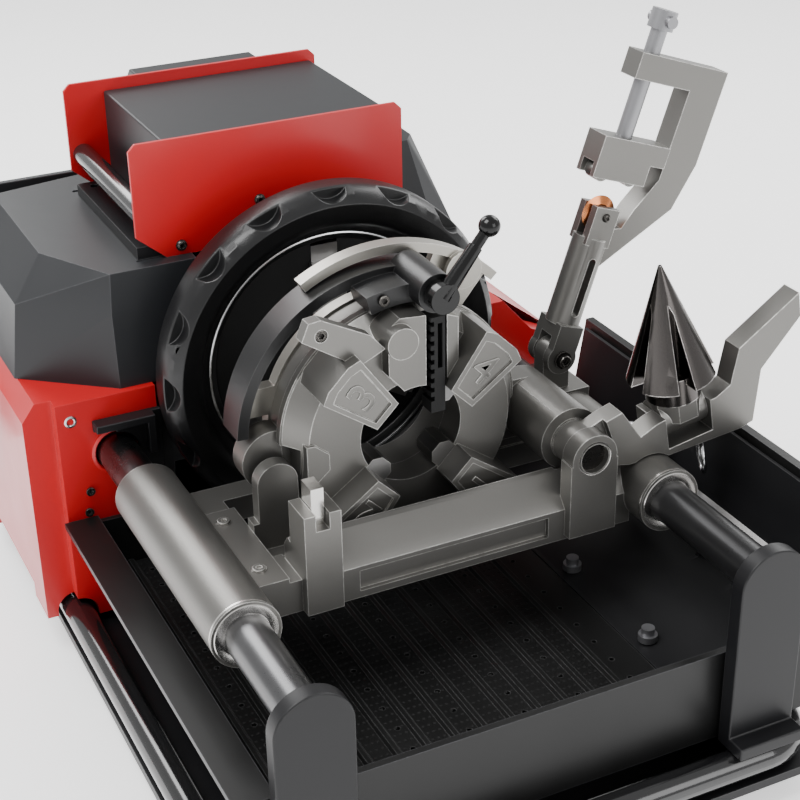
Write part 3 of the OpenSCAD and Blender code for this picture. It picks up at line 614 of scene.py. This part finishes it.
class Head(Enum):
    """Kinds of screw head, as (radius, height) profiles of unit radius; the last three are the socket."""

    BUTTON = ((0.0, -0.3), (1.0, -0.3), (1.0, 0.1), (0.93, 0.32), (0.78, 0.52), (0.56, 0.62), (0.50, 0.62),
            (0.46, 0.25), (0.0, 0.2))
    CAP = ((0.0, -0.3), (1.0, -0.3), (1.0, 0.62), (0.95, 0.72), (0.86, 0.76), (0.64, 0.76), (0.58, 0.74),
            (0.55, 0.2), (0.0, 0.15))
    FLAT = ((0.0, -0.3), (0.9, -0.3), (1.0, 0.22), (0.98, 0.28), (0.9, 0.3), (0.56, 0.3), (0.5, 0.28),
            (0.47, -0.05), (0.0, -0.1))

    def unit(self) -> bpy.types.Object:
        """A 1 mm radius head as a helper object, for Geometry Nodes to copy."""
        first = len(self.value) - 3

        def hexed(k: int, a: float) -> float:
            """Hexagon radius factor for the socket's rings."""
            return 0.9 / math.cos((a % (math.pi / 3)) - math.pi / 6) if k >= first else 1.0

        bm = bmesh.new()
        revolve(bm, self.value, Matrix.Identity(4), 24, hexed)
        bmesh.ops.recalc_face_normals(bm, faces=bm.faces)
        mesh = bpy.data.meshes.new(f"unit_{self.name}")
        bm.to_mesh(mesh)
        bm.free()
        obj = bpy.data.objects.new(f"unit_{self.name}", mesh)
        bpy.context.scene.collection.objects.link(obj)
        return obj


@dataclass
class Screw:
    """One screw: where its head sits in the spindle frame, which way it faces and its head radius."""

    spot: tuple[float, float, float]
    facing: tuple[float, float, float]
    radius: float


def field_tree() -> bpy.types.NodeTree:
    """Geometry Nodes group that puts a unit object on points, facing their own way and turned at random."""
    tree = bpy.data.node_groups.new("fastener_field", "GeometryNodeTree")
    tree.interface.new_socket("Geometry", in_out="INPUT", socket_type="NodeSocketGeometry")
    tree.interface.new_socket("Unit", in_out="INPUT", socket_type="NodeSocketObject")
    tree.interface.new_socket("Finish", in_out="INPUT", socket_type="NodeSocketMaterial")
    tree.interface.new_socket("Seed", in_out="INPUT", socket_type="NodeSocketInt").default_value = 7
    tree.interface.new_socket("Geometry", in_out="OUTPUT", socket_type="NodeSocketGeometry")
    add, link = tree.nodes.new, tree.links.new
    gi, go = add("NodeGroupInput"), add("NodeGroupOutput")
    info = add("GeometryNodeObjectInfo")
    facing, size = add("GeometryNodeInputNamedAttribute"), add("GeometryNodeInputNamedAttribute")
    facing.data_type, size.data_type = "FLOAT_VECTOR", "FLOAT"
    facing.inputs["Name"].default_value, size.inputs["Name"].default_value = "facing", "size"
    align = add("FunctionNodeAlignRotationToVector")
    spin = add("FunctionNodeAxisAngleToRotation")
    chance = add("FunctionNodeRandomValue")
    turn = add("FunctionNodeRotateRotation")
    place = add("GeometryNodeInstanceOnPoints")
    real, paint = add("GeometryNodeRealizeInstances"), add("GeometryNodeSetMaterial")
    align.axis = "Z"
    turn.rotation_space = "LOCAL"
    chance.data_type = "FLOAT"
    spin.inputs["Axis"].default_value = (0, 0, 1)
    floats = [k for k in chance.inputs if k.type == "VALUE"]
    floats[0].default_value, floats[1].default_value = 0.0, math.tau
    link(gi.outputs["Seed"], chance.inputs["Seed"])
    link([k for k in chance.outputs if k.type == "VALUE"][0], spin.inputs["Angle"])
    link(facing.outputs["Attribute"], align.inputs["Vector"])
    link(align.outputs[0], turn.inputs["Rotation"])
    link(spin.outputs[0], turn.inputs["Rotate By"])
    link(gi.outputs["Unit"], info.inputs["Object"])
    link(gi.outputs["Geometry"], place.inputs["Points"])
    link(info.outputs["Geometry"], place.inputs["Instance"])
    link(turn.outputs[0], place.inputs["Rotation"])
    link(size.outputs["Attribute"], place.inputs["Scale"])
    link(place.outputs[0], real.inputs[0])
    link(real.outputs[0], paint.inputs["Geometry"])
    link(gi.outputs["Finish"], paint.inputs["Material"])
    link(paint.outputs[0], go.inputs[0])
    return tree


def run_tree(obj: bpy.types.Object, tree: bpy.types.NodeTree, **values: object) -> None:
    """Run a Geometry Nodes group on an object with named inputs and keep the result as its mesh."""
    mod = obj.modifiers.new("build", "NODES")
    mod.node_group = tree
    for item in tree.interface.items_tree:
        if item.item_type == "SOCKET" and item.in_out == "INPUT" and item.name in values:
            mod[item.identifier] = values[item.name]
    settle(obj)


def scatter(name: str, head: Head, screws: Sequence[Screw], finish: Finish, body: str) -> bpy.types.Object:
    """Make a set of like screws with Geometry Nodes.

    Args:
        name: piece name.
        head: kind of head.
        screws: where they sit.
        finish: their finish.
        body: body that they ride on.
    Returns:
        The piece.
    """
    mesh = bpy.data.meshes.new(name)
    mesh.from_pydata([SF @ (Vector(q.spot) * MM) for q in screws], [], [])
    mesh.attributes.new("facing", "FLOAT_VECTOR", "POINT")
    mesh.attributes.new("size", "FLOAT", "POINT")
    facing, size = mesh.attributes["facing"], mesh.attributes["size"]
    for i, q in enumerate(screws):
        facing.data[i].vector = q.facing
        size.data[i].value = q.radius
    obj = bpy.data.objects.new(name, mesh)
    bpy.context.scene.collection.objects.link(obj)
    unit = head.unit()
    tree = bpy.data.node_groups.get("fastener_field") or field_tree()
    run_tree(obj, tree, Unit=unit, Finish=finish.material(), Seed=7)
    bpy.data.objects.remove(unit)
    dress(obj, finish)
    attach(obj, body)
    log.info("screws %s: %d", name, len(screws))
    return obj


def perforation_tree() -> bpy.types.NodeTree:
    """Geometry Nodes group: rows of small pits on a rectangle, three rows between ridges; the pits are
    near-black discs whose darkness is painted shade.
    """
    tree = bpy.data.node_groups.new("perforations", "GeometryNodeTree")
    tree.interface.new_socket("Geometry", in_out="INPUT", socket_type="NodeSocketGeometry")
    for label, value in (("Pit Radius", 0.0013), ("Length", 0.38), ("Depth", 0.0006)):
        tree.interface.new_socket(label, in_out="INPUT", socket_type="NodeSocketFloat").default_value = value
    tree.interface.new_socket("Count", in_out="INPUT", socket_type="NodeSocketInt").default_value = 42
    tree.interface.new_socket("Finish", in_out="INPUT", socket_type="NodeSocketMaterial")
    tree.interface.new_socket("Geometry", in_out="OUTPUT", socket_type="NodeSocketGeometry")
    add, link = tree.nodes.new, tree.links.new
    gi, go = add("NodeGroupInput"), add("NodeGroupOutput")
    line = add("GeometryNodeMeshLine")
    rows, pits = add("GeometryNodeInstanceOnPoints"), add("GeometryNodeInstanceOnPoints")
    row, step, can = add("GeometryNodeRealizeInstances"), add("ShaderNodeMath"), add("GeometryNodeMeshCylinder")
    real, paint = add("GeometryNodeRealizeInstances"), add("GeometryNodeSetMaterial")
    offset = add("ShaderNodeCombineXYZ")
    can.inputs["Vertices"].default_value = 8
    step.operation = "DIVIDE"
    link(gi.outputs["Length"], step.inputs[0])
    link(gi.outputs["Count"], step.inputs[1])
    link(step.outputs[0], offset.inputs["X"])
    link(offset.outputs[0], line.inputs["Offset"])
    link(gi.outputs["Count"], line.inputs["Count"])
    link(gi.outputs["Geometry"], rows.inputs["Points"])
    link(line.outputs[0], rows.inputs["Instance"])
    link(rows.outputs[0], row.inputs[0])
    link(row.outputs[0], pits.inputs["Points"])
    link(gi.outputs["Pit Radius"], can.inputs["Radius"])
    link(gi.outputs["Depth"], can.inputs["Depth"])
    link(can.outputs["Mesh"], pits.inputs["Instance"])
    link(pits.outputs[0], real.inputs[0])
    link(real.outputs[0], paint.inputs["Geometry"])
    link(gi.outputs["Finish"], paint.inputs["Material"])
    link(paint.outputs[0], go.inputs[0])
    return tree


def tray_pits() -> None:
    """Small pits between the ridges of the chip tray, drawn near-black as painted shade."""
    lo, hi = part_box("chip_tray")
    ridge, first = 24 * MM, -187 * MM
    rows = []
    for i in range(12):
        for k in (-5.0, 0.0, 5.0):
            y = first + ridge * (i + 0.5) + k * MM
            rows.append((lo.x + 7 * MM, y, (AXIS_Z - 177.2) * MM))
    mesh = bpy.data.meshes.new("tray_pits")
    mesh.from_pydata(rows, [], [])
    obj = bpy.data.objects.new("tray_pits", mesh)
    bpy.context.scene.collection.objects.link(obj)
    run_tree(obj, perforation_tree(), **{"Pit Radius": 1.3 * MM, "Length": hi.x - lo.x - 10 * MM,
            "Depth": 0.6 * MM, "Count": 46,
                                         "Finish": PIT_SHADE.material()})
    dress(obj, PIT_SHADE)
    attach(obj, "frame")


def digits() -> None:
    """Raised generic numbers 1 to 4 on the die head's segments."""
    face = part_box("die_front_plate")[1].x - 2.0 * MM
    mid = (SF @ Vector((0, 0, 0)))
    for text, angle in (("1", -45.0), ("2", 225.0), ("3", 135.0), ("4", 45.0)):
        a = math.radians(angle)
        curve = bpy.data.curves.new(f"digit_{text}", "FONT")
        curve.body, curve.size, curve.align_x, curve.align_y = text, 36 * MM, "CENTER", "CENTER"
        curve.extrude, curve.bevel_depth, curve.bevel_resolution = 0.5 * MM, 0.35 * MM, 2
        curve.offset = 0.2 * MM
        holder = bpy.data.objects.new(f"digit_curve_{text}", curve)
        bpy.context.scene.collection.objects.link(holder)
        bpy.context.view_layer.update()
        mesh = bpy.data.meshes.new_from_object(holder.evaluated_get(bpy.context.evaluated_depsgraph_get()))
        bpy.data.objects.remove(holder)
        up, right = Vector((0, math.cos(a), math.sin(a))), Vector((0, math.sin(a), -math.cos(a)))
        turn = Matrix((right, up, Vector((1, 0, 0)))).transposed().to_4x4()
        spot = mid + up * 73 * MM
        spot.x = face
        bm = bmesh.new()
        bm.from_mesh(mesh)
        bmesh.ops.remove_doubles(bm, verts=bm.verts, dist=1e-6)
        bm.transform(Matrix.Translation(spot) @ turn)
        new_piece(f"digit_{text}", bm, CAST_ALU, "die_head")


def rm_matrix() -> Matrix:
    """Matrix of the parked reamer's frame: origin on the hinge axis, Y out along the arm."""
    return Matrix.Translation(Vector((0, HINGE_Y, HINGE_Z)) * MM) @ Matrix.Rotation(math.radians(ARM_RISE), 4,
            "X")


def rings() -> None:
    """Bright turned rings on the sleeves, the front ear, the chuck ring's lip and the rail's hole."""
    for name, x, y, slot_node in (("left_sleeve_ring", 271, -RAIL_Y, "sleeve_bushings"),
            ("right_sleeve_ring", 255, RAIL_Y, "sleeve_bushings")):
        bm = bmesh.new()
        profile = [(18.4, -2), (18.4, 0.2), (19.2, 0.6), (24.6, 0.6), (27.6, -2.6), (27.6, -4), (24, -4),
                (24, -2)]
        revolve(bm, profile, aimed((x, y, RAIL_Z), (1, 0, 0)), 64)
        new_piece(name, bm, BRIGHT, "carriage")
    bm = bmesh.new()
    revolve(bm, [(12.7, -2), (12.7, -0.6), (14.4, 0.25), (15.0, 0.25), (15.0, -2)],
            aimed((238, HINGE_Y, HINGE_Z), (1, 0, 0)), 48)
    new_piece("front_ear_ring", bm, BRIGHT, "carriage")
    bm = bmesh.new()
    revolve(bm, [(110.0, 4.8), (110.0, 6.2), (111.0, 6.6), (112.0, 6.2), (112.0, 4.8)],
            aimed((0, 0, 0), (1, 0, 0)), 128)
    new_piece("chuck_lip", bm, ZINC, "chuck_hand_ring")
    bm = bmesh.new()
    revolve(bm, [(19.2, -1), (19.2, 1.2), (20.2, 2.0), (22.4, 1.2), (22.4, -1)],
            aimed((-35, -RAIL_Y, RAIL_Z), (1, 0, 0)), 64)
    new_piece("rail_hole_rim", bm, RED, "frame")
    bm = bmesh.new()
    revolve(bm, [(3.0, -1.5), (3.0, 0.4), (3.8, 0.9), (5.4, 0.5), (5.4, -1.5)],
            aimed((-35, -224, -31), (1, 0, 0)), 40)
    new_piece("panel_bush", bm, ZINC, "frame")


def screws() -> None:
    """Every screw head that shows, with hex sockets."""
    head = scatter("plate_screws", Head.BUTTON,
            [Screw((-60, y, z), (1, 0, 0), 5.0) for y, z in ((-106, 98), (-33, 126), (88, 102))],
                   PIN_DARK, "frame")
    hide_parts("cover_screws")
    scatter("panel_screws", Head.FLAT, [Screw((-33.4, y, z), (1, 0, 0), 4.0) for y,
            z in ((-214, -101), (-217, -121))], PIN_DARK, "frame")
    scatter("lug_screw", Head.CAP, [Screw((173.5, -80, 106), (1, 0, 0), 4.7)], PIN_DARK, "die_head")
    scatter("bar_screw", Head.CAP, [Screw((157.4, -20, 115), (1, 0, 0), 4.5)], PIN_DARK, "throwout")
    scatter("pivot_screw", Head.CAP, [Screw((103, 176, -5), (1, 0, 0), 5.5)], PIN_DARK, "carriage")
    scatter("platform_screws", Head.FLAT, [Screw((x, -150, -61.2), (0, 0, 1), 5.0) for x in (128, 204)],
            CAST_ALU, "carriage")
    scatter("wheel_pin_head", Head.BUTTON, [Screw(tuple(cutter_point(12.9, 0, 128)), (1, 0, 0), 3.8)],
            PIN_DARK, "cutter")
    out = Vector((math.cos(math.radians(-70)), math.sin(math.radians(-70)), 0))
    way = Matrix.Rotation(math.radians(ARM_RISE), 3, "X") @ out
    spot = rm_matrix() @ ((Vector((205, 96.5, 15.75)) + out * 21) * MM) / MM
    scatter("collar_screw", Head.CAP, [Screw(tuple(spot), tuple(way), 3.2)], PIN_DARK, "reamer")


def cutter_point(x: float, across: float, up: float) -> Vector:
    """A point of the leaning cutter's frame in the spindle frame, in mm."""
    a = math.radians(CUTTER_LEAN)
    over = Vector((x, across * math.cos(a) + up * math.sin(a), up * math.cos(a) - across * math.sin(a)))
    return Vector(CUTTER_PIVOT) + over


SOFT_WIDTH: dict[str, float] = {
    "side_panel_left": 1.2, "side_panel_right": 1.2, "cover_left": 1.6, "cover_right": 1.6, "top_housing": 2.0,
    "front_plate": 0.5, "rear_plate": 0.5, "latch_bar": 1.2, "battery_pack": 2.5, "rail_bracket": 1.0,
            "rear_cover": 1.0,
    "carriage_casting": 2.0, "die_body": 1.5, "die_front_plate": 1.0, "cutter_frame": 1.5, "reamer_arm": 1.8,
    "reamer_head": 1.2, "throwout_bar": 2.5, "cam_plate": 0.8, "roller_carrier": 1.2, "power_paddle": 1.0,
            "chuck_ring": 2.5, "rail_end_brackets": 1.5, "clamp_lever": 1.0,
}


def main() -> None:
    """Dress every CAD node, soften the castings and add the fine pieces."""
    logging.basicConfig(level=logging.INFO, format="%(name)s: %(message)s")
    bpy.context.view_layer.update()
    for node, obj in frame["nodes"].items():
        dress(obj, NODE_FINISH[node])
    for node, width in SOFT_WIDTH.items():
        softened(node, width)
    tray_pits()
    digits()
    rings()
    screws()
    Stage().build()


if __name__ == "__main__":
    main()
